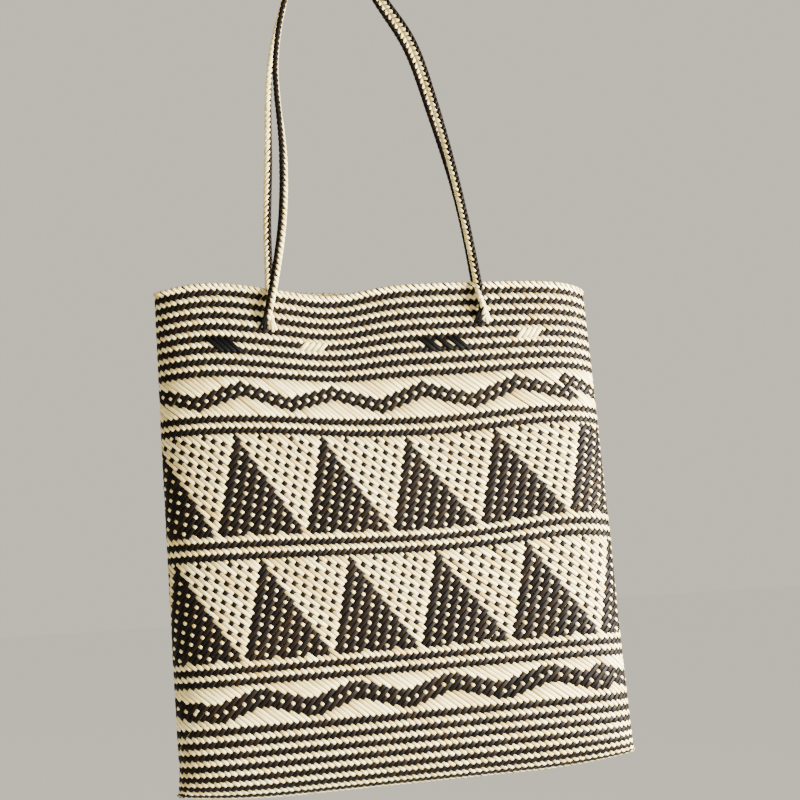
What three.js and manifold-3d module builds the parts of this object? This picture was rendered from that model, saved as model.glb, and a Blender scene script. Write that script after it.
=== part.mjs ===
// Plaited rattan document bag, hung by its two braided handles. Millimetres, +Z up.
// The origin is the hang point, under the top of both handle loops. The front faces -Y, +X is its right.

import * as THREE from 'three';
import { mergeVertices } from 'three/addons/utils/BufferGeometryUtils.js';
import Module from 'manifold-3d';

// Bag
const RIM_BELOW_HANG = 292;
const BAG_MIDDLE_X = 22;
const BAG_HEIGHT = 383.5;
const WALL = 1.8;
const RIM_THICKNESS = 3.0;
const RIM_HEIGHT = 6;
const RIM_SHOULDER = 1.5;
const FACE_STEPS = 28;
const FACE_POWER = 8;
const LEFT_DROOP = 1;
const RIGHT_DROOP = 7;
const EDGE_POWER = 10;
const BASE_SLANT = 2.6;

// The plaited tube, from the rim down: half width, half depth and sideways shift of its middle
const SECTIONS = [
  { drop: 0, halfWidth: 171, halfDepth: 14, shift: 0 },
  { drop: 34, halfWidth: 171.5, halfDepth: 15.5, shift: 0.8 },
  { drop: 62, halfWidth: 172, halfDepth: 16.6, shift: 1.5 },
  { drop: 94, halfWidth: 172.5, halfDepth: 17.6, shift: 2.2 },
  { drop: 130, halfWidth: 173, halfDepth: 18.5, shift: 3 },
  { drop: 210, halfWidth: 174, halfDepth: 20, shift: 5 },
  { drop: 290, halfWidth: 174.5, halfDepth: 20, shift: 6.5 },
  { drop: 340, halfWidth: 175.2, halfDepth: 19.5, shift: 8 },
  { drop: 358, halfWidth: 175.2, halfDepth: 19, shift: 8.7 },
];

// The base rolls under from the last section to a narrow keel with two raised, pointed corners
const KEEL_HALF_WIDTH = 177.5;
const KEEL_HALF_DEPTH = 2.5;
const ROLL_STEPS = 6;
const CORNER_RISE = 7.3;
const CORNER_START = 0.5;

// Soft dents of the walls, in (x from the bag's middle, drop), with a depth inwards and a sag of the rim
const DENTS = [
  { face: 'front', x: -26, drop: 0, inward: 4.5, sag: 0, spreadX: 54, spreadDrop: 95 },
  { face: 'front', x: -36, drop: 0, inward: 0, sag: 7.5, spreadX: 36, spreadDrop: 80 },
  { face: 'front', x: -140, drop: 0, inward: 0, sag: -6, spreadX: 42, spreadDrop: 75 },
  { face: 'front', x: 60, drop: 150, inward: 1.5, sag: 0, spreadX: 70, spreadDrop: 90 },
  { face: 'back', x: 15, drop: 0, inward: 3, sag: 4, spreadX: 60, spreadDrop: 95 },
];

// Handles: a braid of this section, and the route of each one's middle from its left to its right foot
const STRAP_WIDTH = 6.4;
const STRAP_THICKNESS = 4.4;
const STRAP_SIDES = 8;
const STRAP_STEPS = 92;
const STRAP_GAP = 0.6;
const FOOT_BELOW_RIM = 30;
const FOOT_REACH = 6;
const SLOT_HEIGHT = 13;
const HANDLES = [
  {
    face: 'front',
    feet: { left: { x: -65, rimX: -59.5 }, right: { x: 104.5, rimX: 102 } },
    loop: [
      { x: -50, z: -242, away: 15.3 },
      { x: -46.4, z: -190, away: 13 },
      { x: -48.2, z: -112, away: 9.1 },
      { x: -37.8, z: -58.5, away: 6.7 },
      { x: -22, z: -20, away: 5 },
      { x: 0, z: STRAP_WIDTH / 2, away: 4.4 },
      { x: 22, z: -22, away: 5.2 },
      { x: 43, z: -58, away: 6.6 },
      { x: 63, z: -92, away: 8.2 },
      { x: 77.2, z: -142, away: 10.6 },
      { x: 93.4, z: -226, away: 14.6 },
    ],
  },
  {
    face: 'back',
    feet: { left: { x: -63, rimX: -59.6 }, right: { x: 111, rimX: 109.5 } },
    loop: [
      { x: -58.4, z: -236, away: 15 },
      { x: -55.6, z: -190, away: 13 },
      { x: -50.6, z: -108, away: 9 },
      { x: -38, z: -58.5, away: 6.7 },
      { x: -22, z: -20, away: 5 },
      { x: 0, z: STRAP_WIDTH / 2, away: 4.4 },
      { x: 21, z: -22, away: 5.2 },
      { x: 41, z: -56, away: 6.5 },
      { x: 62, z: -92, away: 8.2 },
      { x: 79, z: -145, away: 10.8 },
      { x: 98.4, z: -219, away: 14.3 },
    ],
  },
];

// Tails: the strap's strands part inside, come out through a slit as a patch and go in again
const TAIL_HEIGHT = 9;
const TAIL_THICKNESS = 1;
const TAIL_GAP = 0.75;
const TAIL_BELOW_RIM = 45;
const TAIL_RUN = [
  { along: 6, side: -1 },
  { along: 15, side: -1 },
  { along: 24, side: -1 },
  { along: 28, side: 1 },
  { along: 35, side: 1 },
  { along: 42, side: 1 },
  { along: 46, side: -1 },
  { along: 52, side: -1 },
];
const SLIT_LENGTH = 7.5;
const SLIT_REACH = 9;
const SLOT_REACH = 12;
const CUT_GAP = 0.5;

const COLOURS = {
  plait: { color: 0xcdbb96, roughness: 0.5 },
  braid: { color: 0x8a7b62, roughness: 0.55 },
  dark: { color: 0x1e1614, roughness: 0.45 },
  pale: { color: 0xebdcb9, roughness: 0.5 },
};

const wasm = await Module();
wasm.setup();

function material(name) {
  return new THREE.MeshStandardMaterial({ ...COLOURS[name], metalness: 0 });
}

function interpolate(drop, column) {
  let row = 0;
  while (row < SECTIONS.length - 2 && drop > SECTIONS[row + 1].drop) row += 1;
  const upper = SECTIONS[row];
  const lower = SECTIONS[row + 1];
  const share = THREE.MathUtils.clamp((drop - upper.drop) / (lower.drop - upper.drop), 0, 1);
  return THREE.MathUtils.lerp(upper[column], lower[column], share);
}

// One level of the tube. Past the last section the base rolls under along a quarter ellipse.
function level(drop, roll = 0) {
  const last = SECTIONS[SECTIONS.length - 1];
  const angle = (roll * Math.PI) / 2;
  const inward = 1 - Math.cos(angle);
  const halfWidth = interpolate(drop, 'halfWidth');
  const halfDepth = interpolate(drop, 'halfDepth');
  return {
    drop: roll > 0 ? last.drop + (BAG_HEIGHT - last.drop) * Math.sin(angle) : drop,
    halfWidth: THREE.MathUtils.lerp(halfWidth, KEEL_HALF_WIDTH, roll),
    halfDepth: THREE.MathUtils.lerp(halfDepth, KEEL_HALF_DEPTH, inward),
    shift: interpolate(drop, 'shift'),
    roll,
    tilt: angle,
  };
}

// How far the dents move a point of one face: inwards along Y, and down
function dentAt(face, x, drop) {
  const moved = { inward: 0, sag: 0 };
  for (const dent of DENTS.filter((row) => row.face === face)) {
    const across = (x - dent.x) / dent.spreadX;
    const down = (drop - dent.drop) / dent.spreadDrop;
    const strength = Math.exp(-across * across - down * down);
    moved.inward += dent.inward * strength;
    moved.sag += dent.sag * strength;
  }
  return moved;
}

// A point of the wall: across runs from -1 at the left edge to 1 at the right, offset is outwards
function wallPoint(face, across, at, offset) {
  const outwards = face === 'front' ? -1 : 1;
  const bow = Math.sqrt(Math.max(0, 1 - across ** FACE_POWER));
  const x = at.halfWidth * across;
  const y = outwards * at.halfDepth * bow;
  const slope = (FACE_POWER * across ** (FACE_POWER - 1)) / at.halfWidth;
  const normal = new THREE.Vector2(slope, (outwards * 2 * bow) / at.halfDepth);
  normal.normalize().multiplyScalar(offset * Math.cos(at.tilt));
  const dent = dentAt(face, x, at.drop);
  const edgeFade = 1 - across ** 4;
  const corner = Math.max(0, (Math.abs(across) - CORNER_START) / (1 - CORNER_START)) ** 2;
  const down = at.drop / BAG_HEIGHT;
  const droop = (across < 0 ? LEFT_DROOP : RIGHT_DROOP) * across ** EDGE_POWER * (1 - down);
  const slant = BASE_SLANT * across * down ** 2;
  const rise = CORNER_RISE * corner * at.roll - offset * Math.sin(at.tilt);
  return new THREE.Vector3(
    BAG_MIDDLE_X + at.shift + x + normal.x,
    y + normal.y - outwards * dent.inward * edgeFade,
    rise + slant - droop - dent.sag * edgeFade - RIM_BELOW_HANG - at.drop,
  );
}

// A closed ring of the tube: along the front from left to right, then back along the back
function ring(at, offset) {
  const points = [];
  for (let step = 0; step < 2 * FACE_STEPS; step += 1) {
    const face = step <= FACE_STEPS ? 'front' : 'back';
    const angle = (Math.PI * step) / FACE_STEPS - Math.PI / 2;
    points.push(wallPoint(face, Math.sin(angle), at, offset));
  }
  return points;
}

// The triangles that close a ring by a strip between its front and its back points
function capFaces(start, count) {
  const faces = [];
  for (let step = 0; step < count / 2; step += 1) {
    const front = start + step;
    const back = start + count - step;
    if (step > 0) faces.push(front, back - 1, back);
    if (step < count / 2 - 1) faces.push(front, front + 1, back - 1);
  }
  return faces;
}

// A solid from rings joined in order, closed at both ends
function solidFromRings(rings) {
  const count = rings[0].length;
  const positions = rings.flat().flatMap((point) => point.toArray());
  const faces = [];
  for (let row = 0; row < rings.length - 1; row += 1) {
    for (let step = 0; step < count; step += 1) {
      const next = (step + 1) % count;
      const here = row * count;
      const below = here + count;
      faces.push(here + step, below + step, below + next, here + step, below + next, here + next);
    }
  }
  faces.push(...capFaces(0, count));
  faces.push(...capFaces((rings.length - 1) * count, count).reverse());
  const geometry = new THREE.BufferGeometry();
  geometry.setAttribute('position', new THREE.Float32BufferAttribute(positions, 3));
  geometry.setIndex(faces);
  return geometry;
}

function toManifold(geometry) {
  const bare = geometry.clone();
  bare.deleteAttribute('normal');
  bare.deleteAttribute('uv');
  const merged = mergeVertices(bare);
  const vertProperties = new Float32Array(merged.attributes.position.array);
  const triVerts = new Uint32Array(merged.index.array);
  return new wasm.Manifold(new wasm.Mesh({ numProp: 3, vertProperties, triVerts }));
}

function fromManifold(solid) {
  const mesh = solid.getMesh();
  const geometry = new THREE.BufferGeometry();
  geometry.setAttribute('position', new THREE.Float32BufferAttribute(mesh.vertProperties, 3));
  geometry.setIndex(new THREE.Uint32BufferAttribute(mesh.triVerts, 1));
  geometry.computeVertexNormals();
  return geometry;
}

// The middle of the wall at a place across the bag, for what lies on it or passes through it
function wallAt(face, x, drop) {
  const at = level(drop);
  const across = (x - BAG_MIDDLE_X - at.shift) / at.halfWidth;
  return wallPoint(face, across, at, 0);
}

// The same at a given height, which the sag of the dents moves along the wall
function wallAtHeight(face, x, height) {
  let drop = -RIM_BELOW_HANG - height;
  for (let pass = 0; pass < 4; pass += 1) drop += wallAt(face, x, drop).z - height;
  return wallAt(face, x, drop);
}

function tailHeight(handle, footX) {
  return wallAt(handle.face, footX, TAIL_BELOW_RIM).z;
}

function box(centre, width, depth, height) {
  const geometry = new THREE.BoxGeometry(width, depth, height);
  geometry.translate(centre.x, centre.y, centre.z);
  return toManifold(geometry);
}

// The hollow plaited body, with a slot for each strap foot and two slits for each tail
function bodyGeometry() {
  const half = WALL / 2;
  const rimHalf = RIM_THICKNESS / 2;
  const wallDrops = SECTIONS.slice(1).map((row) => row.drop);
  const last = SECTIONS[SECTIONS.length - 1].drop;
  const rolls = Array.from({ length: ROLL_STEPS }, (_, step) => (step + 1) / ROLL_STEPS);
  const side = (turn) => [
    ring(level(0), turn * rimHalf),
    ring(level(RIM_HEIGHT), turn * rimHalf),
    ring(level(RIM_HEIGHT + RIM_SHOULDER), turn * half),
    ...wallDrops.map((drop) => ring(level(drop), turn * half)),
    ...rolls.map((roll) => ring(level(last, roll), turn * half)),
  ];
  let solid = toManifold(solidFromRings([...side(-1).reverse(), ...side(1)]));
  for (const handle of HANDLES) {
    for (const foot of Object.values(handle.feet)) {
      const slot = wallAt(handle.face, foot.x, FOOT_BELOW_RIM);
      solid = solid.subtract(box(slot, STRAP_WIDTH + 2 * CUT_GAP, SLOT_REACH, SLOT_HEIGHT));
      for (const direction of [-1, 1]) {
        for (const crossing of tailCrossings()) {
          const height = tailHeight(handle, foot.x);
          const slit = wallAtHeight(handle.face, foot.x + direction * crossing, height);
          solid = solid.subtract(box(slit, SLIT_LENGTH, SLIT_REACH, TAIL_HEIGHT + 2 * CUT_GAP));
        }
      }
    }
  }
  return fromManifold(solid);
}

// Where a tail passes through the wall: half way between two rows of its run on different sides
function tailCrossings() {
  const crossings = [];
  for (let row = 1; row < TAIL_RUN.length; row += 1) {
    const [before, after] = [TAIL_RUN[row - 1], TAIL_RUN[row]];
    if (before.side !== after.side) crossings.push((before.along + after.along) / 2);
  }
  return crossings;
}

function strapSection() {
  const corners = [];
  for (let side = 0; side < STRAP_SIDES; side += 1) {
    const angle = (2 * Math.PI * (side + 0.5)) / STRAP_SIDES;
    const x = (STRAP_WIDTH / 2) * Math.cos(angle);
    const y = (STRAP_THICKNESS / 2) * Math.sin(angle);
    corners.push(new THREE.Vector2(x, y));
  }
  return new THREE.Shape(corners);
}

// The strap slants along the wall from the rim down to its foot, and goes in through its slot there
function strapFoot(handle, foot) {
  const outwards = handle.face === 'front' ? -1 : 1;
  const clear = RIM_THICKNESS / 2 + STRAP_GAP + STRAP_THICKNESS / 2;
  const places = [
    { drop: FOOT_BELOW_RIM + FOOT_REACH, away: -1 },
    { drop: FOOT_BELOW_RIM, away: 0 },
    { drop: FOOT_BELOW_RIM - FOOT_REACH, away: 1 },
    { drop: 0, away: 1 },
  ];
  return places.map(({ drop, away }) => {
    const reach = away < 0 ? clear * 1.25 : clear;
    const x = drop > 0 ? foot.x : foot.rimX;
    const wall = wallAt(handle.face, x, drop);
    return new THREE.Vector3(x, wall.y + outwards * away * reach, wall.z);
  });
}

function handleGeometry(handle) {
  const outwards = handle.face === 'front' ? -1 : 1;
  const loop = handle.loop.map((row) => new THREE.Vector3(row.x, outwards * row.away, row.z));
  const left = strapFoot(handle, handle.feet.left);
  const right = strapFoot(handle, handle.feet.right).reverse();
  const route = new THREE.CatmullRomCurve3([...left, ...loop, ...right]);
  return new THREE.ExtrudeGeometry(strapSection(), { steps: STRAP_STEPS, extrudePath: route });
}

// A tail is a thin strip: its run seen from above, raised to the height of its few strands
function tailGeometry(handle, footX, direction) {
  const outwards = handle.face === 'front' ? -1 : 1;
  const clear = WALL / 2 + TAIL_GAP + TAIL_THICKNESS / 2;
  const middle = tailHeight(handle, footX);
  const edge = (thickness) =>
    TAIL_RUN.map((row) => {
      const x = footX + direction * row.along;
      const wall = wallAtHeight(handle.face, x, middle);
      return new THREE.Vector2(x, wall.y + outwards * (row.side * clear + thickness));
    });
  const outline = [...edge(TAIL_THICKNESS / 2), ...edge(-TAIL_THICKNESS / 2).reverse()];
  const strip = new THREE.Shape(outline);
  const geometry = new THREE.ExtrudeGeometry(strip, { depth: TAIL_HEIGHT, bevelEnabled: false });
  geometry.translate(0, 0, middle - TAIL_HEIGHT / 2);
  return geometry;
}

function addPiece(group, name, geometry, finish) {
  const mesh = new THREE.Mesh(geometry, material(finish));
  mesh.name = name;
  group.add(mesh);
}

// The dark strands turn to the left of each foot and the pale ones to the right, seen from outside
function addTails(group, handle) {
  const darkSide = handle.face === 'front' ? -1 : 1;
  for (const [place, foot] of Object.entries(handle.feet)) {
    const name = `${handle.face}_${place}`;
    addPiece(group, `${name}_dark_tail`, tailGeometry(handle, foot.x, darkSide), 'dark');
    addPiece(group, `${name}_pale_tail`, tailGeometry(handle, foot.x, -darkSide), 'pale');
  }
}

const bag = new THREE.Group();
addPiece(bag, 'body', bodyGeometry(), 'plait');
for (const handle of HANDLES) {
  addPiece(bag, `${handle.face}_handle`, handleGeometry(handle), 'braid');
  addTails(bag, handle);
}

export default bag;
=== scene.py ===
import math

import bpy
import numpy as np
from mathutils import Matrix


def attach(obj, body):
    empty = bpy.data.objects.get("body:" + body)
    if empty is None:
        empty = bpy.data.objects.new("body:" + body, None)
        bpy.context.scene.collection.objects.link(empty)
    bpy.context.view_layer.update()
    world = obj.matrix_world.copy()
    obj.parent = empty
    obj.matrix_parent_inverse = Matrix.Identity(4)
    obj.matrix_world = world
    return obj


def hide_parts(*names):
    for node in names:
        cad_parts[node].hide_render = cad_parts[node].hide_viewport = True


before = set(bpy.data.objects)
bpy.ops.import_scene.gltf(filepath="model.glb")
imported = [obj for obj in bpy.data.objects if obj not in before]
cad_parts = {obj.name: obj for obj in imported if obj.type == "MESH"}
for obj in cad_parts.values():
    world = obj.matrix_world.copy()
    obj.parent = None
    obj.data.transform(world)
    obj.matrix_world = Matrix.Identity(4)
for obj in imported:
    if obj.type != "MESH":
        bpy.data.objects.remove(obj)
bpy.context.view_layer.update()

# Rattan document bag, hung by its handles: every strand of the plait, the braids and the woven-in tails.
# Sizes are in millimetres, as in the part's source, and meshes are made in metres.
MM = 0.001
SEED = 11
TINY = 1e-12
OUTWARDS = {"front": -1, "back": 1}
random = np.random.default_rng(SEED)

# The wall's middle surface
RIM_BELOW_HANG = 292.0
BAG_MIDDLE_X = 22.0
BAG_HEIGHT = 383.5
FACE_POWER = 8
LEFT_DROOP = 1.0
RIGHT_DROOP = 7.0
EDGE_POWER = 10
DENT_FADE_POWER = 4
BASE_SLANT = 2.6
SECTIONS = [
    {"drop": 0, "half_width": 171, "half_depth": 14, "shift": 0},
    {"drop": 34, "half_width": 171.5, "half_depth": 15.5, "shift": 0.8},
    {"drop": 62, "half_width": 172, "half_depth": 16.6, "shift": 1.5},
    {"drop": 94, "half_width": 172.5, "half_depth": 17.6, "shift": 2.2},
    {"drop": 130, "half_width": 173, "half_depth": 18.5, "shift": 3},
    {"drop": 210, "half_width": 174, "half_depth": 20, "shift": 5},
    {"drop": 290, "half_width": 174.5, "half_depth": 20, "shift": 6.5},
    {"drop": 340, "half_width": 175.2, "half_depth": 19.5, "shift": 8},
    {"drop": 358, "half_width": 175.2, "half_depth": 19, "shift": 8.7},
]
LAST_DROP = SECTIONS[-1]["drop"]
KEEL_HALF_WIDTH = 177.5
KEEL_HALF_DEPTH = 2.5
CORNER_RISE = 7.3
CORNER_START = 0.5
ROLL_SAMPLES = 61
ACROSS_SAMPLES = 721
DENTS = [
    {"face": "front", "x": -26, "drop": 0, "inward": 4.5, "sag": 0, "spread_x": 54, "spread_drop": 95},
    {"face": "front", "x": -36, "drop": 0, "inward": 0, "sag": 7.5, "spread_x": 36, "spread_drop": 80},
    {"face": "front", "x": -140, "drop": 0, "inward": 0, "sag": -6, "spread_x": 42, "spread_drop": 75},
    {"face": "front", "x": 60, "drop": 150, "inward": 1.5, "sag": 0, "spread_x": 70, "spread_drop": 90},
    {"face": "back", "x": 15, "drop": 0, "inward": 3, "sag": 4, "spread_x": 60, "spread_drop": 95},
]

# The plait: pale and dark strands cross on a lattice of half columns around the bag and rows down it
STRANDS = 152
RING = 2 * STRANDS
PLAIN_ROW = 2.15
TRIANGLE_ROW = 2.31
ROWS = 178
LEAN = 0.125
LEAN_ROW = 55
COLUMN_DRIFT = [
    {"column": 0, "drift": -1.2},
    {"column": 20, "drift": -2.3},
    {"column": 84, "drift": -2.5},
    {"column": 100, "drift": -1.7},
    {"column": 120, "drift": 0.0},
    {"column": 136, "drift": 1.6},
    {"column": STRANDS, "drift": 1.9},
    {"column": RING, "drift": -1.2},
]
LIFT = 0.42
ARCH = 0.16
DIVE = 0.14
DARK_REACH = 0.18
LONGEST_STEP = 2.6
STRAND_THICKNESS = 0.8
STRAND_PER_ROW = 3.2
PALE_WIDTH = 3.05
DARK_WIDTH = 3.75
PALE_WIDTH_SPREAD = 0.12
DARK_WIDTH_SPREAD = 0.24
PALE_CHANCES = (-1.5, 1.0)
DARK_CHANCES = (-2.0, 0.6)
RIM_SLIM = 0.86
RIM_SLIM_ROW = 10
DOT_SLIM = 0.96
DOT_DIVE = 0.2
SWAY = 0.08
SWAY_PER_ROW = 0.11
CHANCES = 4
BUNDLES = 4

# Where the rows of the front hang lower or higher than the wall itself does, in shares of its width
ROW_SAGS = [
    {"share": 0.56, "row": 58, "down": 7.7, "spread_share": 0.26, "above": 34, "below": 31},
    {"share": 0.89, "row": 85, "down": -4.1, "spread_share": 0.16, "above": 22, "below": 25},
    {"share": 0.56, "row": 100, "down": 2.2, "spread_share": 0.8, "above": 16, "below": 14},
    {"share": 0.27, "row": 26, "down": 2.1, "spread_share": 0.11, "above": 80, "below": 10},
    {"share": 0.7, "row": 153, "down": 1.3, "spread_share": 0.9, "above": 5, "below": 16},
]

# Bands of the pattern, from the rim down: back_start is the column plus row where a second ribbon begins
STRIPE_ROWS = 4
DARK_STRIPE_ROWS = 2
TRIANGLES = 10
TRIANGLE_COLUMNS = 28
TRIANGLE_START = 28
LEFT_EDGE_ROWS = 3
RIGHT_EDGE_ROWS = 2
DOT_LEAN = 3
DOT_REPEAT = 10
PALE_DOT = 6
DARK_DOT = 8
WIDE_TRIANGLE = 4
WIDE_EXTRA = RING - TRIANGLES * TRIANGLE_COLUMNS
WAVE_COLUMNS = 30
WAVE_RISE = 5
SAME_ROW = 0.01
BACK_COLUMNS = 160
BANDS = [
    {"first": 0, "last": 2, "motif": "pale"},
    {"first": 3, "last": 32, "motif": "stripes"},
    {
        "first": 33, "last": 46, "motif": "wave", "crest": 33, "crest_row": 37, "half_width": 2.34,
        "closing": 137.8, "closing_lean": 0.92, "back_crest": 139, "back_start": 174,
    },
    {"first": 47, "last": 52, "motif": "stripes"},
    {"first": 54, "last": 85, "motif": "triangles", "shift": 0},
    {"first": 88, "last": 93, "motif": "stripes"},
    {"first": 95, "last": 126, "motif": "triangles", "shift": 1},
    {"first": 129, "last": 134, "motif": "stripes"},
    {
        "first": 135, "last": 148, "motif": "wave", "crest": 21, "crest_row": 139, "half_width": 2.7,
        "closing": 124.7, "closing_lean": 1.5, "back_crest": 123, "back_start": 264,
    },
    {"first": 149, "last": 178, "motif": "stripes"},
]

# How a pale strand turns over the rim: rows inside are negative, the lean turns its face up and inwards
RIM_FOLD = [
    {"row": -2.5, "lift": -1.2, "lean": 180},
    {"row": -0.9, "lift": -1.25, "lean": 180},
    {"row": -0.3, "lift": -0.95, "lean": 145},
    {"row": -0.1, "lift": 0.0, "lean": 90},
    {"row": 0.3, "lift": 0.95, "lean": 35},
    {"row": 0.9, "lift": 1.1, "lean": 0},
]

# Section of a strand, as shares of its width and thickness, and its layout on its texture
SECTION = np.array([(-0.5, -0.05), (-0.27, 0.42), (0.27, 0.42), (0.5, -0.05), (0.0, -0.5)])
TEXTURE_LENGTH = 10.0
TEXTURE_MARGIN = 0.02
TEXTURE_SPAN = 1 - 2 * TEXTURE_MARGIN
CAP_TEXTURE = 0.3

# Handles
STRAP_WIDTH = 6.4
STRAP_THICKNESS = 4.4
STRAP_CLEAR = 4.3
FOOT_BELOW_RIM = 30.0
FOOT_REACH = 6.0
FOOT_INSIDE = -1.25
ROUTE_SAMPLES = 40
ROUTE_STEP = 0.5
HANDLES = {
    "front": {
        "feet": {"left": {"x": -65, "rim_x": -59.5}, "right": {"x": 104.5, "rim_x": 102}},
        "dark_edge": 0,
        "loop": [
            {"x": -50, "z": -242, "away": 15.3},
            {"x": -46.4, "z": -190, "away": 13},
            {"x": -48.2, "z": -112, "away": 9.1},
            {"x": -37.8, "z": -58.5, "away": 6.7},
            {"x": -22, "z": -20, "away": 5},
            {"x": 0, "z": STRAP_WIDTH / 2, "away": 4.4},
            {"x": 22, "z": -22, "away": 5.2},
            {"x": 43, "z": -58, "away": 6.6},
            {"x": 63, "z": -92, "away": 8.2},
            {"x": 77.2, "z": -142, "away": 10.6},
            {"x": 93.4, "z": -226, "away": 14.6},
        ],
    },
    "back": {
        "feet": {"left": {"x": -63, "rim_x": -59.6}, "right": {"x": 111, "rim_x": 109.5}},
        "dark_edge": 180,
        "loop": [
            {"x": -58.4, "z": -236, "away": 15},
            {"x": -55.6, "z": -190, "away": 13},
            {"x": -50.6, "z": -108, "away": 9},
            {"x": -38, "z": -58.5, "away": 6.7},
            {"x": -22, "z": -20, "away": 5},
            {"x": 0, "z": STRAP_WIDTH / 2, "away": 4.4},
            {"x": 21, "z": -22, "away": 5.2},
            {"x": 41, "z": -56, "away": 6.5},
            {"x": 62, "z": -92, "away": 8.2},
            {"x": 79, "z": -145, "away": 10.8},
            {"x": 98.4, "z": -219, "away": 14.3},
        ],
    },
}
BRAID_PITCH = 4.5
BRAID_ADVANCE = 5.2
BRAID_WIDTH = 3.6
BRAID_THICKNESS = 1.5
BRAID_INSET = 0.6
BRAID_STEPS = [
    {"share": 0.0, "raised": -0.5, "width": 0.55},
    {"share": 0.22, "raised": 0.1, "width": 0.95},
    {"share": 0.5, "raised": 0.28, "width": 1.0},
    {"share": 0.78, "raised": 0.1, "width": 0.85},
    {"share": 1.0, "raised": -0.55, "width": 0.4},
]
BRAID_EDGE = -24
BRAID_CENTRE = 104
BRAID_STARTS = {"dark": 0.0, "pale": 0.25}
BRAID_FACES = [{"side": 1, "shift": 0.0}, {"side": -1, "shift": 0.5}]
BRAID_LENGTH_SPREAD = 0.05
BRAID_WIDTH_SPREAD = 0.06
FACE_TEXTURE_SHIFT = 97.0
CORE_WIDTH = 4.6
CORE_THICKNESS = 3.0
CORE_INSET = 1.0
CORE_STEP = 4.0
STRAP_TURNS = {
    "front": [
        {"share": 0.14, "turn": 0},
        {"share": 0.19, "turn": 20},
        {"share": 0.25, "turn": 70},
        {"share": 0.42, "turn": 85},
        {"share": 0.5, "turn": 0},
        {"share": 0.58, "turn": 20},
        {"share": 0.955, "turn": 20},
        {"share": 0.985, "turn": -180},
    ],
    "back": [
        {"share": 0.14, "turn": 0},
        {"share": 0.22, "turn": 30},
        {"share": 0.32, "turn": 80},
        {"share": 0.42, "turn": 80},
        {"share": 0.5, "turn": 0},
        {"share": 0.955, "turn": 0},
        {"share": 0.985, "turn": -180},
    ],
}

# Tails: strands that leave the foot of a strap, run inside the wall and show as a patch of floats outside
TAIL_ROWS = {"dark": 21.5, "pale": 19.5}
TAIL_FINISHES = {"dark": "dark_tail", "pale": "pale"}
TAIL_PATCH = 34.5
TAIL_FLOATS = {
    "front_left_dark": (-1.5, -0.5, 0.5, 1.5),
    "front_left_pale": (-1.5, -0.5, 0.5, 1.5),
    "front_right_dark": (-2.5, -1.5, 0.5, 2.4, 3.4),
    "front_right_pale": (-0.8, 0.2, 1.1, 2.0),
    "back_left_dark": (-2, -1, 0, 1, 2),
    "back_left_pale": (-1.5, -0.5, 0.5, 1.5),
    "back_right_dark": (-2, -1, 0, 1, 2),
    "back_right_pale": (-1.5, -0.5, 0.5, 1.5),
}
TAIL_WIDTH = 3.5
FLOAT_STEPS = [
    {"share": -1.0, "lift": -0.5, "width": 0.7},
    {"share": -0.78, "lift": 0.95, "width": 0.95},
    {"share": 0.0, "lift": 1.3, "width": 1.0},
    {"share": 0.78, "lift": 0.95, "width": 0.95},
    {"share": 1.0, "lift": -0.5, "width": 0.7},
]
FLOAT_HALF_ROWS = {"dark": 2.8, "pale": 1.9}
FOOT_STRANDS = [
    {"start": 16, "end": 32, "near": 0.8, "far": 1.8, "width": 2.6},
    {"start": 17, "end": 34, "near": 1.6, "far": 4.0, "width": 2.4},
    {"start": 20, "end": 32, "near": 2.0, "far": 6.8, "width": 2.2},
]
FOOT_STEPS = [
    {"share": 0.0, "lift": 5.2},
    {"share": 0.15, "lift": 5.6},
    {"share": 0.45, "lift": 4.6},
    {"share": 0.75, "lift": 2.6},
    {"share": 0.92, "lift": 1.2},
    {"share": 1.0, "lift": -0.4},
]
FOOT_ROW = 12
FOOT_FAN_POWER = 1.5
INSIDE_RUNS = (-1.9, 0.0, 1.9)
INSIDE_START = 6.0
INSIDE_END = 52.0
INSIDE_STEPS = 14
INSIDE_LIFT = -2.0

# Finishes: shades from the darkest strands to the lightest, then the edge colour and its share, a painted
# shade at each strand's sides where it sinks between its neighbours
FINISHES = {
    "pale": {
        "shades": [
            {"tone": 0.15, "colour": (0.54, 0.38, 0.12)},
            {"tone": 0.35, "colour": (0.77, 0.61, 0.24)},
            {"tone": 0.6, "colour": (0.86, 0.73, 0.32)},
            {"tone": 0.85, "colour": (0.92, 0.83, 0.45)},
        ],
        # Painted shade: a strand's sides and underside blend towards this darker colour, standing in for
        # shade between neighbouring strands
        "edge": (0.22, 0.165, 0.09),
        "gap_shade_share": 0.34,
        "roughness": 0.45,
        "gloss": 0.4,
    },
    "dark": {
        "shades": [
            {"tone": 0.2, "colour": (0.0026, 0.0014, 0.0008)},
            {"tone": 0.6, "colour": (0.0052, 0.0027, 0.0014)},
            {"tone": 0.85, "colour": (0.012, 0.006, 0.0028)},
        ],
        # Painted shade at the strands' sides, as for the pale strands
        "edge": (0.002, 0.0012, 0.0006),
        "gap_shade_share": 0.6,
        "roughness": 0.55,
        "gloss": 0.09,
    },
    "dark_tail": {
        "shades": [
            {"tone": 0.2, "colour": (0.0011, 0.0010, 0.0010)},
            {"tone": 0.8, "colour": (0.0026, 0.0023, 0.0022)},
        ],
        # Painted shade at the strands' sides, as for the pale strands
        "edge": (0.001, 0.001, 0.001),
        "gap_shade_share": 0.6,
        "roughness": 0.6,
        "gloss": 0.05,
    },
}
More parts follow.
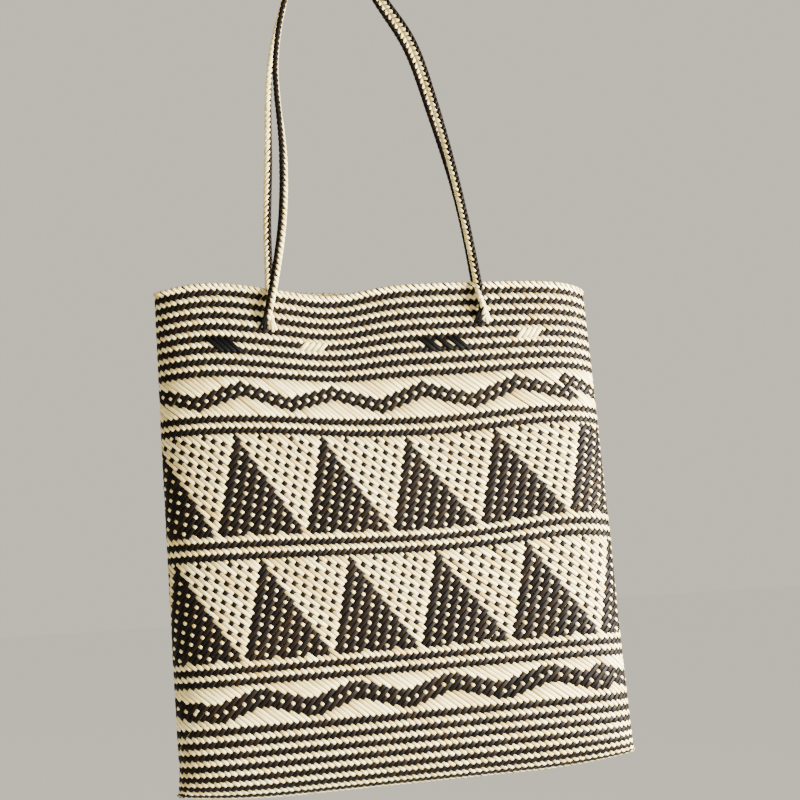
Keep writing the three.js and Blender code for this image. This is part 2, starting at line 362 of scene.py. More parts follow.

# Grain of a strand: slow changes of tone along it, fine streaks, and where the painted shade at its edges
# starts on its texture
SLOW_SCALE = 0.35
SLOW_SHIFT = 7.3
SLOW_DETAIL = 2.0
SLOW_SHARE = 0.45
CHANCE_SHARE = 0.55
FINE_SCALE = 0.9
FINE_ACROSS = 24.0
FINE_DETAIL = 3.0
FACE_MIDDLE = 0.31
GAP_SHADE_FROM = 0.14
GAP_SHADE_TO = 0.31
STREAK_GRAIN = (0.3, 0.7)
STREAK_SHADE = (0.8, 1.08)
ROUGHNESS_SPREAD = (-0.08, 0.12)
BUMP_STRENGTH = 0.25
BUMP_DISTANCE = 0.0002

# Places of a Mix node's colour sockets
MIX_FIRST = 6
MIX_SECOND = 7
MIX_RESULT = 2

# Camera, floor and lights
CAMERA_PLACE = (-0.1799, -1.112, -0.5118)
CAMERA_YAW = 11.07
CAMERA_PITCH = 6.51
CAMERA_ROLL = -3.4
CAMERA_LENS = 65.25
CAMERA_SENSOR = 36.0
FLOOR_HEIGHT = -1.5
FLOOR_SIZE = 60.0
FLOOR_COLOUR = (0.95, 0.95, 0.95)
FLOOR_ROUGHNESS = 0.9
LIGHT_TARGET = (0.03, 0, -0.45)
LIGHT_COLOUR = (1.0, 0.96, 0.89)
LIGHTS = [
    {"name": "key_light", "place": (1.12, -0.52, -0.42), "size": 0.6, "power": 172},
    {"name": "fill_light", "place": (-1.8, -1.5, -0.1), "size": 1.6, "power": 4},
    {"name": "back_light", "place": (0.4, 2.0, 0.5), "size": 1.6, "power": 60},
]
STUDIO_COLOUR = (0.82, 0.76, 0.64)
STUDIO_STRENGTH = 0.95


# Wall

def column(rows, name):
    return np.array([row[name] for row in rows], float)


def roll_lengths():
    """Length along the base's quarter turn, at even shares of it."""
    share = np.linspace(0, 1, ROLL_SAMPLES)
    angle = share * math.pi / 2
    drop = (BAG_HEIGHT - LAST_DROP) * np.sin(angle)
    depth = (SECTIONS[-1]["half_depth"] - KEEL_HALF_DEPTH) * (1 - np.cos(angle))
    steps = np.hypot(np.diff(drop), np.diff(depth))
    return share, np.concatenate([[0], np.cumsum(steps)])


def wall_level(down):
    """Section of the bag, a length down its surface: the wall, the base's turn, then its narrow keel."""
    share, length = roll_lengths()
    drop = min(down, LAST_DROP)
    roll = np.interp(down - LAST_DROP, length, share)
    angle = roll * math.pi / 2
    flat = np.clip(down - LAST_DROP - length[-1], 0, KEEL_HALF_DEPTH)
    drops = column(SECTIONS, "drop")
    half_width = np.interp(drop, drops, column(SECTIONS, "half_width"))
    half_depth = np.interp(drop, drops, column(SECTIONS, "half_depth"))
    return {
        "drop": drop + (BAG_HEIGHT - LAST_DROP) * math.sin(angle),
        "half_width": half_width + (KEEL_HALF_WIDTH - half_width) * roll,
        "half_depth": half_depth + (KEEL_HALF_DEPTH - half_depth) * (1 - math.cos(angle)) - flat,
        "shift": np.interp(drop, drops, column(SECTIONS, "shift")),
        "roll": roll,
    }


def wall_line(face, across, level):
    """Points of one face at one level, across from -1 at the left edge to 1 at the right."""
    outwards = OUTWARDS[face]
    bow = np.sqrt(np.maximum(0, 1 - across ** FACE_POWER))
    x = level["half_width"] * across
    y = outwards * level["half_depth"] * bow
    edge_fade = 1 - across ** DENT_FADE_POWER
    sag = np.zeros_like(across)
    for dent in DENTS:
        if dent["face"] == face:
            aside = (x - dent["x"]) / dent["spread_x"]
            below = (level["drop"] - dent["drop"]) / dent["spread_drop"]
            strength = np.exp(-aside ** 2 - below ** 2) * edge_fade
            y -= outwards * dent["inward"] * strength
            sag += dent["sag"] * strength
    corner = np.maximum(0, (np.abs(across) - CORNER_START) / (1 - CORNER_START)) ** 2
    down = level["drop"] / BAG_HEIGHT
    droop = np.where(across < 0, LEFT_DROOP, RIGHT_DROOP) * across ** EDGE_POWER * (1 - down)
    slant = BASE_SLANT * across * down ** 2
    z = CORNER_RISE * corner * level["roll"] + slant - droop - sag - RIM_BELOW_HANG - level["drop"]
    return np.stack([BAG_MIDDLE_X + level["shift"] + x, y, z], axis=1)


def evenly_spaced(line, steps):
    length = np.concatenate([[0], np.cumsum(np.linalg.norm(np.diff(line, axis=0), axis=1))])
    wanted = np.linspace(0, length[-1], steps + 1)
    return np.stack([np.interp(wanted, length, line[:, axis]) for axis in range(3)], axis=1)


def row_drops():
    """How far down the surface each row lies. The rows of the triangles are taller."""
    height = np.full(ROWS, PLAIN_ROW)
    for band in BANDS:
        if band["motif"] == "triangles":
            height[band["first"]:band["last"] + 1] = TRIANGLE_ROW
    return np.concatenate([[0], np.cumsum(height)])


def wall_grid():
    """The wall's middle at each row and half column, front first, and its outward normals."""
    across = np.sin(np.linspace(-math.pi / 2, math.pi / 2, ACROSS_SAMPLES))
    rows = []
    for drop in row_drops():
        level = wall_level(drop)
        front = evenly_spaced(wall_line("front", across, level), STRANDS)
        back = evenly_spaced(wall_line("back", across[::-1], level), STRANDS)
        rows.append(np.concatenate([front[:-1], back[:-1]]))
    grid = np.array(rows)
    around = np.roll(grid, -1, axis=1) - np.roll(grid, 1, axis=1)
    normal = np.cross(np.gradient(grid, axis=0), around)
    normal /= np.linalg.norm(normal, axis=2, keepdims=True) + TINY
    return grid, normal


wall, wall_normal = wall_grid()


def blended(values, column_place, row_place):
    row = np.minimum(row_place.astype(int), ROWS - 1)
    start = np.floor(column_place).astype(int)
    below = (row_place - row)[:, None]
    beside = (column_place - start)[:, None]
    left, right = start % RING, (start + 1) % RING
    upper = values[row, left] * (1 - beside) + values[row, right] * beside
    lower = values[row + 1, left] * (1 - beside) + values[row + 1, right] * beside
    return upper * (1 - below) + lower * below


def on_wall(column_place, row_place, lift):
    """Places on the plait, lifted outwards from the wall's middle, and the outward directions there."""
    share = np.mod(column_place, RING) / STRANDS
    sag = np.zeros(len(share))
    for row in ROW_SAGS:
        aside = (share - row["share"]) / row["spread_share"]
        spread = np.where(row_place < row["row"], row["above"], row["below"])
        sag += row["down"] * np.exp(-aside ** 2 - ((row_place - row["row"]) / spread) ** 2)
    lower = np.clip(row_place + np.where(share < 1, sag, 0) / PLAIN_ROW, 0, ROWS)
    place = blended(wall, column_place, lower)
    outward = blended(wall_normal, column_place, lower)
    outward /= np.linalg.norm(outward, axis=1, keepdims=True)
    return place + outward * lift[:, None], outward


def lattice_column(half_column, row):
    """Where a half column of the lattice lies around the bag, which leans and drifts a little."""
    leaning = half_column + LEAN * (row - LEAN_ROW)
    turn = np.mod(leaning, RING)
    return leaning + np.interp(turn, column(COLUMN_DRIFT, "column"), column(COLUMN_DRIFT, "drift"))


# Pattern

def wave_is_dark(band, columns, row):
    """A zigzag ribbon with pale dots along its middle. A second one takes over at its closing line."""
    closing = band["closing"] + band["closing_lean"] * (row - band["crest_row"] - WAVE_RISE / 2)
    begun = columns + row >= band["back_start"]
    on_back = begun & (columns > closing) & (columns < closing + BACK_COLUMNS)
    aside = np.mod(columns - np.where(on_back, band["back_crest"], band["crest"]), WAVE_COLUMNS)
    aside = np.minimum(aside, WAVE_COLUMNS - aside)
    middle = band["crest_row"] + aside * WAVE_RISE * 2 / WAVE_COLUMNS
    ribbon = np.abs(row - middle) <= band["half_width"]
    dot = np.abs(row - middle) < SAME_ROW
    return ribbon & ~dot


def triangles_are_dark(band, columns, row):
    """Leaning triangles that widen downwards, with pale dots on them and dark dots between them."""
    below = row - band["first"]
    dark = np.zeros(columns.shape, bool)
    between = np.zeros(columns.shape, bool)
    apex = TRIANGLE_START + band["shift"]
    for triangle in range(TRIANGLES):
        extra = WIDE_EXTRA if triangle == WIDE_TRIANGLE else 0
        aside = np.mod(columns - apex + TRIANGLE_COLUMNS / 2, RING) - TRIANGLE_COLUMNS / 2
        left = -below / LEFT_EDGE_ROWS
        right = extra + (below + 1) / RIGHT_EDGE_ROWS
        inside = (aside >= left) & (aside <= right)
        pale_dot = np.mod(aside - DOT_LEAN * below, DOT_REPEAT) == PALE_DOT
        dark |= inside & ~pale_dot
        gap = (aside > right) & (aside < extra + TRIANGLE_COLUMNS + left)
        dark_dot = np.mod(aside - extra - DOT_LEAN * below, DOT_REPEAT) == DARK_DOT
        between |= gap & dark_dot
        apex += TRIANGLE_COLUMNS + extra
    return dark | between


def pattern():
    """Which crossings show the dark strand outside, by half column and row."""
    columns = np.arange(RING)
    dark = np.zeros((RING, ROWS + 1), bool)
    for band in BANDS:
        for row in range(band["first"], band["last"] + 1):
            if band["motif"] == "stripes":
                dark[:, row] = (row - band["first"]) % STRIPE_ROWS < DARK_STRIPE_ROWS
            if band["motif"] == "wave":
                dark[:, row] = wave_is_dark(band, columns, row)
            if band["motif"] == "triangles":
                dark[:, row] = triangles_are_dark(band, columns, row)
    return dark


# Strands

def strand_piece(name, rings, material, replaced):
    """Joins rings of strands into one mesh. A ring has a place, a face direction and two sizes."""
    place, strand = rings["place"], rings["strand"]
    count, corners = len(place), len(SECTION)
    joined = strand[1:] == strand[:-1]
    before = np.arange(count)
    before[1:] -= joined
    after = np.arange(count)
    after[:-1] += joined
    along = place[after] - place[before]
    along /= np.linalg.norm(along, axis=1, keepdims=True)
    side = np.cross(along, rings["out"])
    side /= np.linalg.norm(side, axis=1, keepdims=True)
    face = np.cross(side, along)
    aside = SECTION[None, :, 0:1] * rings["width"][:, None, None] * side[:, None, :]
    raised = SECTION[None, :, 1:2] * rings["thickness"][:, None, None] * face[:, None, :]
    points = (place[:, None, :] + aside + raised).reshape(-1, 3) * MM

    corner = np.arange(corners)
    following = (corner + 1) % corners
    starts = np.flatnonzero(joined)
    here, there = starts[:, None] * corners, (starts[:, None] + 1) * corners
    quads = np.stack([here + corner, here + following, there + following, there + corner], axis=2)
    quads = quads.reshape(-1, 4)
    first = np.flatnonzero(before == np.arange(count))
    last = np.flatnonzero(after == np.arange(count))
    caps = np.concatenate([first[:, None] * corners + corner[::-1], last[:, None] * corners + corner])

    mesh = bpy.data.meshes.new(name)
    mesh.from_pydata(points.tolist(), [], quads.tolist() + caps.tolist())
    mesh.shade_smooth()
    share = corner / corners
    beside = np.stack([share, share + 1 / corners, share + 1 / corners, share], axis=1)
    across = (strand[starts][:, None, None] + TEXTURE_MARGIN + TEXTURE_SPAN * beside[None]).reshape(-1)
    length = np.stack([rings["along"][starts]] * 2 + [rings["along"][starts + 1]] * 2, axis=1)
    length = np.repeat(length[:, None, :], corners, axis=1).reshape(-1)
    cap_rings = np.repeat(np.concatenate([first, last]), corners)
    across = np.concatenate([across, strand[cap_rings] + CAP_TEXTURE])
    length = np.concatenate([length, rings["along"][cap_rings]])
    layer = mesh.uv_layers.new(name="strand")
    layout = np.stack([length / TEXTURE_LENGTH, across], axis=1)
    layer.data.foreach_set("uv", layout.astype(np.float32).ravel())
    mesh.materials.append(material)

    piece = bpy.data.objects.new(name, mesh)
    bpy.context.scene.collection.objects.link(piece)
    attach(piece, "root")
    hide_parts(replaced)


def float_rings(over, reach):
    """Rows, lifts and slimness of one strand: its floats arch and run on by the reach."""
    rows, lifts, slims = [], [], []
    first = 0
    while first < len(over):
        last = first
        while last + 1 < len(over) and over[last + 1] == over[first]:
            last += 1
        dot = over[first] and first == last
        spare = DIVE - reach if over[first] else DIVE + reach
        if dot:
            spare = min(spare, DOT_DIVE)
        start, end = first - 0.5 + spare, last + 0.5 - spare
        steps = max(2 if over[first] else 1, math.ceil((end - start) / LONGEST_STEP))
        for step in range(steps + 1):
            rows.append(start + (end - start) * step / steps)
            arch = ARCH * math.sin(math.pi * step / steps)
            lifts.append(LIFT + arch if over[first] else -LIFT)
            slims.append(DOT_SLIM if dot else 1.0)
        first = last + 1
    return rows, lifts, slims


def plait_rings(dark, pale_family, strands):
    """All rings of some strands of one family. Pale strands lean right going down, dark ones lean left."""
    turn = 1 if pale_family else -1
    rows, lifts, slims, leans, numbers = [], [], [], [], []
    for strand in strands:
        cells = np.arange(ROWS + 1)
        shown = dark[(2 * strand + turn * cells) % RING, cells]
        if pale_family:
            strand_rows, strand_lifts, strand_slims = float_rings(~shown, -DARK_REACH)
        else:
            strand_rows, strand_lifts, strand_slims = float_rings(shown, DARK_REACH)
        strand_leans = [0.0] * len(strand_rows)
        if pale_family:
            strand_rows = column(RIM_FOLD, "row").tolist() + strand_rows[1:]
            strand_lifts = column(RIM_FOLD, "lift").tolist() + strand_lifts[1:]
            strand_leans = column(RIM_FOLD, "lean").tolist() + strand_leans[1:]
            strand_slims = [1.0] * len(RIM_FOLD) + strand_slims[1:]
        rows += strand_rows
        lifts += strand_lifts
        slims += strand_slims
        leans += strand_leans
        numbers += [strand] * len(strand_rows)
    row, lift, number = np.array(rows), np.array(lifts), np.array(numbers)
    chance = random.normal(0, 1, (CHANCES, STRANDS))[:, number]
    sway = SWAY * (chance[0] + chance[1] * np.sin(row * SWAY_PER_ROW + 2 * chance[2]))
    place_column = lattice_column(2 * number + turn * row + sway, row)
    place, outward = on_wall(place_column, np.abs(row), lift)
    if pale_family:
        width = np.array(slims) * (PALE_WIDTH + PALE_WIDTH_SPREAD * np.clip(chance[3], *PALE_CHANCES))
    else:
        slim = np.interp(row, [0, RIM_SLIM_ROW], [RIM_SLIM, 1])
        width = slim * (DARK_WIDTH + DARK_WIDTH_SPREAD * np.clip(chance[3], *DARK_CHANCES))
    lean = np.radians(np.array(leans))[:, None]
    out = outward * np.cos(lean) + np.array([0, 0, 1]) * np.sin(lean)
    return {
        "place": place,
        "out": out,
        "width": width,
        "thickness": np.full(len(row), STRAND_THICKNESS),
        "strand": number,
        "along": row * STRAND_PER_ROW,
    }


def add_plait(finishes):
    dark = pattern()
    bundle = STRANDS // BUNDLES
    for shade, pale_family in (("pale", True), ("dark", False)):
        for start in range(0, STRANDS, bundle):
            rings = plait_rings(dark, pale_family, range(start, start + bundle))
            name = f"plait_{shade}_{start // bundle + 1}"
            strand_piece(name, rings, finishes[shade], "body")


# Handles

def smooth_route(points, step):
    """A centripetal curve through the points, at even steps of its length."""
    points = np.array(points, float)
    points = np.concatenate([[2 * points[0] - points[1]], points, [2 * points[-1] - points[-2]]])
    share = np.linspace(0, 1, ROUTE_SAMPLES, endpoint=False)[:, None]
    line = []
    for before, start, end, after in zip(points, points[1:], points[2:], points[3:]):
        gap_in, gap, gap_out = (
            math.sqrt(np.linalg.norm(b - a)) for a, b in ((before, start), (start, end), (end, after))
        )
        leave = (start - before) / gap_in - (end - before) / (gap_in + gap) + (end - start) / gap
        arrive = (end - start) / gap - (after - start) / (gap + gap_out) + (after - end) / gap_out
        leave, arrive = leave * gap, arrive * gap
        square = -3 * start + 3 * end - 2 * leave - arrive
        cube = 2 * start - 2 * end + leave + arrive
        line.append(start + leave * share + square * share ** 2 + cube * share ** 3)
    line = np.concatenate(line + [points[-2:-1]])
    length = np.linalg.norm(np.diff(line, axis=0), axis=1).sum()
    return evenly_spaced(line, round(length / step)), length


def wall_at(face, x, drop):
    """The wall's middle at a place across the bag."""
    level = wall_level(drop)
    across = np.array([(x - BAG_MIDDLE_X - level["shift"]) / level["half_width"]])
    return wall_line(face, across, level)[0]


def strap_foot(face, foot):
    """The strap's way down over the rim and in through the wall, from its end up."""
    stations = [
        (FOOT_BELOW_RIM + FOOT_REACH, FOOT_INSIDE),
        (FOOT_BELOW_RIM, 0),
        (FOOT_BELOW_RIM - FOOT_REACH, 1),
        (0, 1),
    ]
    points = []
    for drop, away in stations:
        x = foot["x"] if drop > 0 else foot["rim_x"]
        spot = wall_at(face, x, drop)
        points.append((x, spot[1] + OUTWARDS[face] * away * STRAP_CLEAR, spot[2]))
    return points


def handle_route(face):
    handle = HANDLES[face]
    loop = [(point["x"], OUTWARDS[face] * point["away"], point["z"]) for point in handle["loop"]]
    left = strap_foot(face, handle["feet"]["left"])
    right = strap_foot(face, handle["feet"]["right"])[::-1]
    return smooth_route(left + loop + right, ROUTE_STEP)


class Strap:
    """The braid's oval section along its route: a place is a length along it and an angle round it."""

    def __init__(self, face):
        self.line, self.length = handle_route(face)
        self.step = self.length / (len(self.line) - 1)
        along = np.gradient(self.line, axis=0)
        along /= np.linalg.norm(along, axis=1, keepdims=True)
        front = np.array([0, -1.0, 0]) - along * (-along[:, 1:2])
        front /= np.linalg.norm(front, axis=1, keepdims=True)
        outer = np.cross(front, along)
        share = np.linspace(0, 1, len(self.line))
        turns = STRAP_TURNS[face]
        turn = np.radians(np.interp(share, column(turns, "share"), column(turns, "turn")))[:, None]
        self.outer = outer * np.cos(turn) + front * np.sin(turn)
        self.front = front * np.cos(turn) - outer * np.sin(turn)

    def at(self, along, angle, raised):
        spot = np.clip(along / self.step, 0, len(self.line) - 1)
        index = np.round(spot).astype(int)
        turned = np.radians(angle)
        half_width = STRAP_WIDTH / 2 - BRAID_INSET + raised
        half_thickness = STRAP_THICKNESS / 2 - BRAID_INSET + raised
        outer, front = self.outer[index], self.front[index]
        wide, deep = np.cos(turned)[:, None], np.sin(turned)[:, None]
        place = self.line[index] + outer * wide * half_width[:, None]
        place += front * deep * half_thickness[:, None]
        out = outer * wide * half_thickness[:, None] + front * deep * half_width[:, None]
        return place, out / np.linalg.norm(out, axis=1, keepdims=True)


def braid_rings(strap, edge, start):
    """One half of the braid: on both faces, short floats run from the edge to just past the middle."""
    count = int((strap.length - BRAID_ADVANCE) / BRAID_PITCH)
    share = column(BRAID_STEPS, "share")
    places, outs, widths, numbers, lengths = [], [], [], [], []
    for face in BRAID_FACES:
        side = face["side"]
        for step in range(count):
            begin = (step + start + face["shift"]) * BRAID_PITCH
            along = begin + share * BRAID_ADVANCE * (1 + BRAID_LENGTH_SPREAD * random.normal())
            sweep = BRAID_EDGE + share * (BRAID_CENTRE - BRAID_EDGE)
            angle = edge + side * (sweep if edge == 0 else -sweep)
            place, out = strap.at(along, angle, column(BRAID_STEPS, "raised"))
            places.append(place)
            outs.append(out)
            spread = 1 + BRAID_WIDTH_SPREAD * random.normal()
            widths.append(BRAID_WIDTH * column(BRAID_STEPS, "width") * spread)
            numbers.append(np.full(len(share), len(numbers)))
            lengths.append(along + FACE_TEXTURE_SHIFT * (side + 2))
    return {
        "place": np.concatenate(places),
        "out": np.concatenate(outs),
        "width": np.concatenate(widths),
        "thickness": np.full(len(places) * len(share), BRAID_THICKNESS),
        "strand": np.concatenate(numbers),
        "along": np.concatenate(lengths),
    }


def core_rings(strap):
    """The strands inside the braid, as one plain core."""
    along = np.linspace(CORE_INSET, strap.length - CORE_INSET, round(strap.length / CORE_STEP))
    index = np.round(along / strap.step).astype(int)
    return {
        "place": strap.line[index],
        "out": strap.front[index],
        "width": np.full(len(along), CORE_WIDTH),
        "thickness": np.full(len(along), CORE_THICKNESS),
        "strand": np.zeros(len(along), int),
        "along": along,
    }


def add_handles(finishes):
    for face, handle in HANDLES.items():
        strap = Strap(face)
        node = f"{face}_handle"
        halves = {"dark": handle["dark_edge"], "pale": 180 - handle["dark_edge"]}
        for shade, edge in halves.items():
            rings = braid_rings(strap, edge, BRAID_STARTS[shade])
            strand_piece(f"{node}_{shade}_strands", rings, finishes[shade], node)
        strand_piece(f"{node}_core", core_rings(strap), finishes["dark"], node)


# Tails

def column_at(face, x, row):
    """The half column of the wall at a place across one face."""
    line = np.take(wall[row], np.arange(RING + 1) % RING, axis=0)[:, 0]
    if face == "front":
        return np.interp(x, line[:STRANDS + 1], np.arange(STRANDS + 1))
    return np.interp(x, line[:STRANDS - 1:-1], np.arange(RING, STRANDS - 1, -1))


def join_rings(parts):
    return {name: np.concatenate([part[name] for part in parts]) for name in parts[0]}


def laid_strand(number, columns, rows, lifts, widths, inside=False):
    """One loose strand, laid along a line of places on the wall."""
    place, outward = on_wall(columns, rows, lifts)
    steps = np.linalg.norm(np.diff(place, axis=0), axis=1)
    return {
        "place": place,
        "out": -outward if inside else outward,
        "width": widths,
        "thickness": np.full(len(rows), STRAND_THICKNESS),
        "strand": np.full(len(rows), number),
        "along": np.concatenate([[0], np.cumsum(steps)]),
    }


def tail_rings(face, foot_x, direction, shade, floats):
    """The foot's loose strands, their run inside and the patch, where dark floats lean right."""
    row_middle = TAIL_ROWS[shade]
    turn = 1 if shade == "dark" else -1
    parts = []
    for strand in FOOT_STRANDS:
        share = column(FOOT_STEPS, "share")
        drop = strand["start"] + (strand["end"] - strand["start"]) * share
        aside = strand["near"] + (strand["far"] - strand["near"]) * share ** FOOT_FAN_POWER
        columns = column_at(face, foot_x + direction * aside, FOOT_ROW)
        lifts = column(FOOT_STEPS, "lift")
        widths = np.full(len(share), strand["width"])
        parts.append(laid_strand(len(parts), columns, drop / PLAIN_ROW, lifts, widths))
    for shift in INSIDE_RUNS:
        x = foot_x + direction * np.linspace(INSIDE_START, INSIDE_END, INSIDE_STEPS)
        columns = column_at(face, x, round(row_middle))
        rows = np.full(len(x), row_middle + shift)
        lifts = np.full(len(x), INSIDE_LIFT)
        widths = np.full(len(x), TAIL_WIDTH)
        parts.append(laid_strand(len(parts), columns, rows, lifts, widths, inside=True))
    middle = column_at(face, foot_x + direction * TAIL_PATCH, round(row_middle))
    for step in floats:
        beside = column(FLOAT_STEPS, "share") * FLOAT_HALF_ROWS[shade]
        columns = middle + 2 * step + (turn + LEAN) * beside
        widths = TAIL_WIDTH * column(FLOAT_STEPS, "width")
        lifts = column(FLOAT_STEPS, "lift")
        parts.append(laid_strand(len(parts), columns, row_middle + beside, lifts, widths))
    return join_rings(parts)


def add_tails(finishes):
    for name, floats in TAIL_FLOATS.items():
        face, side, shade = name.split("_")
        direction = 1 if (face == "back") == (shade == "dark") else -1
        rings = tail_rings(face, HANDLES[face]["feet"][side]["x"], direction, shade, floats)
        node = f"{name}_tail"
        strand_piece(f"{node}_strands", rings, finishes[TAIL_FINISHES[shade]], node)


# Finishes

def grain_group():
    """Strand by strand tone, streaks along the strand and the mask of the painted shade at its sides and
    underside.
    """
    group = bpy.data.node_groups.new("strand_grain", "ShaderNodeTree")
    group.interface.new_socket("Strand", in_out="INPUT", socket_type="NodeSocketVector")
    for name in ("Tone", "Grain", "Painted_gap_shade"):
        group.interface.new_socket(name, in_out="OUTPUT", socket_type="NodeSocketFloat")
    nodes, links = group.nodes, group.links
    start = nodes.new("NodeGroupInput")
    end = nodes.new("NodeGroupOutput")
    parts = nodes.new("ShaderNodeSeparateXYZ")
    links.new(start.outputs["Strand"], parts.inputs[0])

    def math_node(operation, first, second):
        node = nodes.new("ShaderNodeMath")
        node.operation = operation
        for socket, value in zip(node.inputs, (first, second)):
            if isinstance(value, (int, float)):
                socket.default_value = value
            else:
                links.new(value, socket)
        return node.outputs[0]

    def noise_node(along, across, detail):
        join = nodes.new("ShaderNodeCombineXYZ")
        links.new(along, join.inputs[0])
        links.new(across, join.inputs[1])
        noise = nodes.new("ShaderNodeTexNoise")
        noise.inputs["Scale"].default_value = 1.0
        noise.inputs["Detail"].default_value = detail
        links.new(join.outputs[0], noise.inputs["Vector"])
        return noise.outputs[0]

    length, strand = parts.outputs[0], parts.outputs[1]
    number = math_node("FLOOR", strand, 0)
    across = math_node("FRACT", strand, 0)
    chance = nodes.new("ShaderNodeTexWhiteNoise")
    chance.noise_dimensions = "1D"
    links.new(number, chance.inputs["W"])
    slow_length = math_node("MULTIPLY", length, SLOW_SCALE)
    slow = noise_node(slow_length, math_node("MULTIPLY", number, SLOW_SHIFT), SLOW_DETAIL)
    mixed = math_node("MULTIPLY", chance.outputs["Value"], CHANCE_SHARE)
    tone = math_node("ADD", mixed, math_node("MULTIPLY", slow, SLOW_SHARE))
    fine_length = math_node("MULTIPLY", length, FINE_SCALE)
    fine = noise_node(fine_length, math_node("MULTIPLY", strand, FINE_ACROSS), FINE_DETAIL)
    # Painted shade mask: none on the middle of the strand's top face, full over its sides and underside,
    # where shade falls between strands
    aside = math_node("ABSOLUTE", math_node("SUBTRACT", across, FACE_MIDDLE), 0)
    edge = nodes.new("ShaderNodeMapRange")
    edge.interpolation_type = "SMOOTHSTEP"
    edge.inputs["From Min"].default_value = GAP_SHADE_FROM
    edge.inputs["From Max"].default_value = GAP_SHADE_TO
    links.new(aside, edge.inputs["Value"])
    links.new(tone, end.inputs["Tone"])
    links.new(fine, end.inputs["Grain"])
    links.new(edge.outputs["Result"], end.inputs["Painted_gap_shade"])
    return group


def strand_finish(name, grain, look):
    """Satin split rattan: its shade varies from strand to strand, and its edges are darkened with painted
    shade between the strands.
    """
    material = bpy.data.materials.new(name)
    material.use_nodes = True
    nodes, links = material.node_tree.nodes, material.node_tree.links
    shader = nodes["Principled BSDF"]
    shader.inputs["Specular IOR Level"].default_value = look["gloss"]
    uv = nodes.new("ShaderNodeUVMap")
    uv.uv_map = "strand"
    group = nodes.new("ShaderNodeGroup")
    group.node_tree = grain
    links.new(uv.outputs[0], group.inputs["Strand"])

    ramp = nodes.new("ShaderNodeValToRGB")
    while len(ramp.color_ramp.elements) < len(look["shades"]):
        ramp.color_ramp.elements.new(0.5)
    for element, shade in zip(ramp.color_ramp.elements, look["shades"]):
        element.position = shade["tone"]
        element.color = (*shade["colour"], 1)
    links.new(group.outputs["Tone"], ramp.inputs[0])

    streak = nodes.new("ShaderNodeMapRange")
    streak.inputs["From Min"].default_value = STREAK_GRAIN[0]
    streak.inputs["From Max"].default_value = STREAK_GRAIN[1]
    streak.inputs["To Min"].default_value = STREAK_SHADE[0]
    streak.inputs["To Max"].default_value = STREAK_SHADE[1]
    links.new(group.outputs["Grain"], streak.inputs["Value"])
    streaked = nodes.new("ShaderNodeMix")
    streaked.data_type = "RGBA"
    streaked.blend_type = "MULTIPLY"
    streaked.inputs["Factor"].default_value = 1.0
    links.new(ramp.outputs[0], streaked.inputs[MIX_FIRST])
    links.new(streak.outputs["Result"], streaked.inputs[MIX_SECOND])

    # Painted shade: a strand's sides blend towards the darker edge colour by the mask and its share
    share = nodes.new("ShaderNodeMath")
    share.operation = "MULTIPLY"
    share.inputs[1].default_value = look["gap_shade_share"]
    links.new(group.outputs["Painted_gap_shade"], share.inputs[0])
    gap_shaded = nodes.new("ShaderNodeMix")
    gap_shaded.data_type = "RGBA"
    gap_shaded.inputs[MIX_SECOND].default_value = (*look["edge"], 1)
    links.new(share.outputs[0], gap_shaded.inputs["Factor"])
    links.new(streaked.outputs[MIX_RESULT], gap_shaded.inputs[MIX_FIRST])
    links.new(gap_shaded.outputs[MIX_RESULT], shader.inputs["Base Color"])

    rough = nodes.new("ShaderNodeMapRange")
    rough.inputs["To Min"].default_value = look["roughness"] + ROUGHNESS_SPREAD[0]
    rough.inputs["To Max"].default_value = look["roughness"] + ROUGHNESS_SPREAD[1]
    links.new(group.outputs["Grain"], rough.inputs["Value"])
    links.new(rough.outputs["Result"], shader.inputs["Roughness"])
    bump = nodes.new("ShaderNodeBump")
    bump.inputs["Strength"].default_value = BUMP_STRENGTH
    bump.inputs["Distance"].default_value = BUMP_DISTANCE
    links.new(group.outputs["Grain"], bump.inputs["Height"])
    links.new(bump.outputs[0], shader.inputs["Normal"])
    return material


def make_finishes():
    grain = grain_group()
    return {name: strand_finish(f"{name}_rattan", grain, look) for name, look in FINISHES.items()}


# Scene

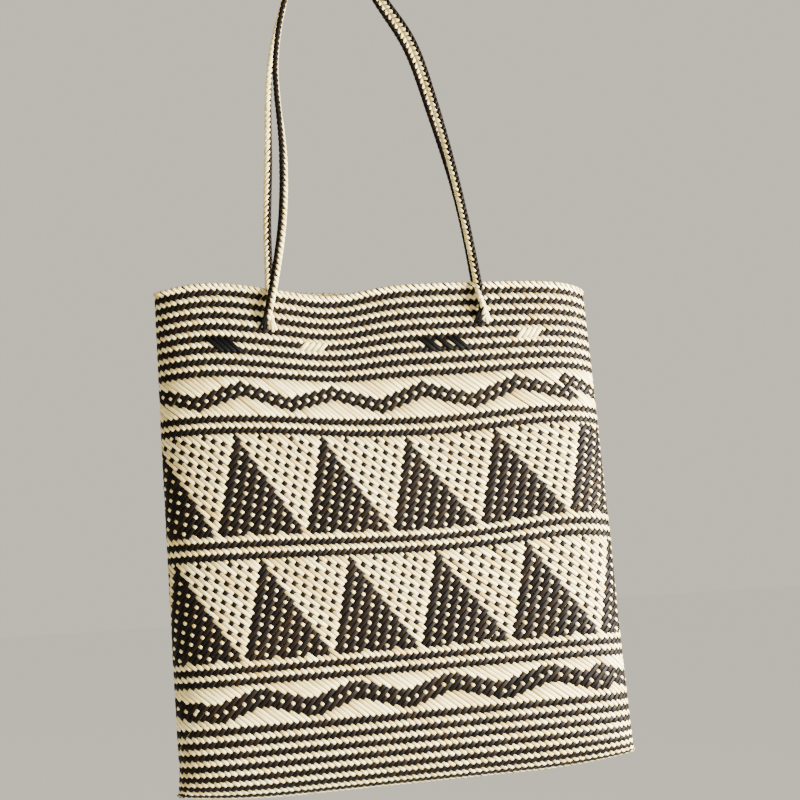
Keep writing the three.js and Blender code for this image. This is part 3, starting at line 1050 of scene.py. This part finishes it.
def add_floor():
    bpy.ops.mesh.primitive_plane_add(size=FLOOR_SIZE, location=(0, 0, FLOOR_HEIGHT))
    floor = bpy.context.object
    floor.name = "floor"
    bpy.ops.object.transform_apply(location=True, rotation=False, scale=False)
    material = bpy.data.materials.new("pale_floor")
    material.use_nodes = True
    shader = material.node_tree.nodes["Principled BSDF"]
    shader.inputs["Base Color"].default_value = (*FLOOR_COLOUR, 1)
    shader.inputs["Roughness"].default_value = FLOOR_ROUGHNESS
    floor.data.materials.append(material)


def add_light(row):
    bpy.ops.object.light_add(type="AREA", location=row["place"])
    light = bpy.context.object
    light.name = row["name"]
    light.data.shape = "DISK"
    light.data.size = row["size"]
    light.data.energy = row["power"]
    light.data.color = LIGHT_COLOUR
    aim = np.array(LIGHT_TARGET) - np.array(row["place"])
    spin = math.atan2(aim[1], aim[0]) - math.pi / 2
    tilt = math.atan2(aim[2], math.hypot(aim[0], aim[1]))
    light.rotation_euler = (math.pi / 2 + tilt, 0, spin)


def add_lights():
    for row in LIGHTS:
        add_light(row)
    world = bpy.data.worlds.new("studio")
    bpy.context.scene.world = world
    world.use_nodes = True
    background = world.node_tree.nodes["Background"]
    background.inputs["Color"].default_value = (*STUDIO_COLOUR, 1)
    background.inputs["Strength"].default_value = STUDIO_STRENGTH


def add_camera():
    bpy.ops.object.camera_add()
    camera = bpy.context.object
    camera.name = "camera"
    camera.data.sensor_width = CAMERA_SENSOR
    camera.data.lens = CAMERA_LENS
    turned = Matrix.Rotation(math.radians(-CAMERA_YAW), 4, "Z")
    raised = Matrix.Rotation(math.radians(90 + CAMERA_PITCH), 4, "X")
    rolled = Matrix.Rotation(math.radians(CAMERA_ROLL), 4, "Z")
    camera.matrix_world = Matrix.Translation(CAMERA_PLACE) @ turned @ raised @ rolled
    bpy.context.scene.camera = camera


bpy.ops.object.select_all(action="DESELECT")
add_camera()
finishes = make_finishes()
add_plait(finishes)
add_handles(finishes)
add_tails(finishes)
add_floor()
add_lights()
